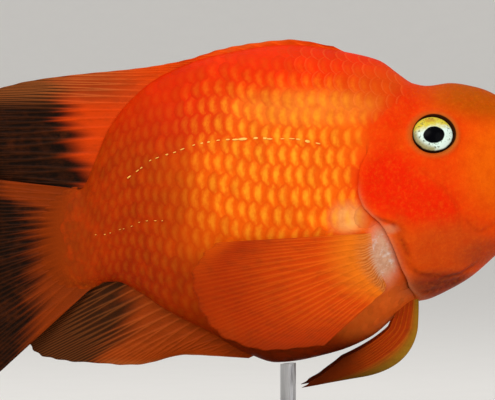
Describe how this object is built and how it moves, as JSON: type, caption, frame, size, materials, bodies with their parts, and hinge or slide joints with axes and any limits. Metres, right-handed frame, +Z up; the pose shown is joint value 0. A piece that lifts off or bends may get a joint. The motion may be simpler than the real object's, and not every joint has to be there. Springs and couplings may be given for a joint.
{
  "type": "blood parrot cichlid",
  "caption": "Deep-bodied orange aquarium fish in a still swimming pose, with swept fins and a small beaked mouth, held over a flat display base by a rod.",
  "frame": {"origin": "centre of the display base's underside, on the surface that it stands on", "axes": "+Z up, +X towards the fish's nose, +Y towards the fish's left side"},
  "size_m": [0.2046, 0.078, 0.1326],
  "materials": {
    "head_skin": "smooth wet skin without scales, ochre on the forehead",
    "lip_flesh": "smooth wet flesh",
    "eye": "clear wet eye with a silvery iris and a black pupil",
    "gill_cover_skin": "smooth wet skin, deep red",
    "body_skin": "wet overlapping scales, red-orange with paler centres",
    "fin_membrane": "ribbed membrane, orange at the root and dusky outwards",
    "paired_fin": "ribbed orange membrane",
    "stand_base": "satin black",
    "stand_steel": "brushed"
  },
  "bodies": {
    "root": {"head": "head_skin", "upper_lip": "lip_flesh", "lower_lip": "lip_flesh", "eye_right": "eye", "eye_left": "eye", "gill_cover_right": "gill_cover_skin", "gill_cover_left": "gill_cover_skin", "trunk": "body_skin", "tail_stalk": "body_skin", "dorsal_fin": "fin_membrane", "anal_fin": "fin_membrane", "tail_fin": "fin_membrane", "pectoral_fin_right": "paired_fin", "pectoral_fin_left": "paired_fin", "pelvic_fin_right": "paired_fin", "pelvic_fin_left": "paired_fin", "stand_base": "stand_base", "stand_rod": "stand_steel", "stand_collar": "stand_steel"}
  },
  "joints": []
}
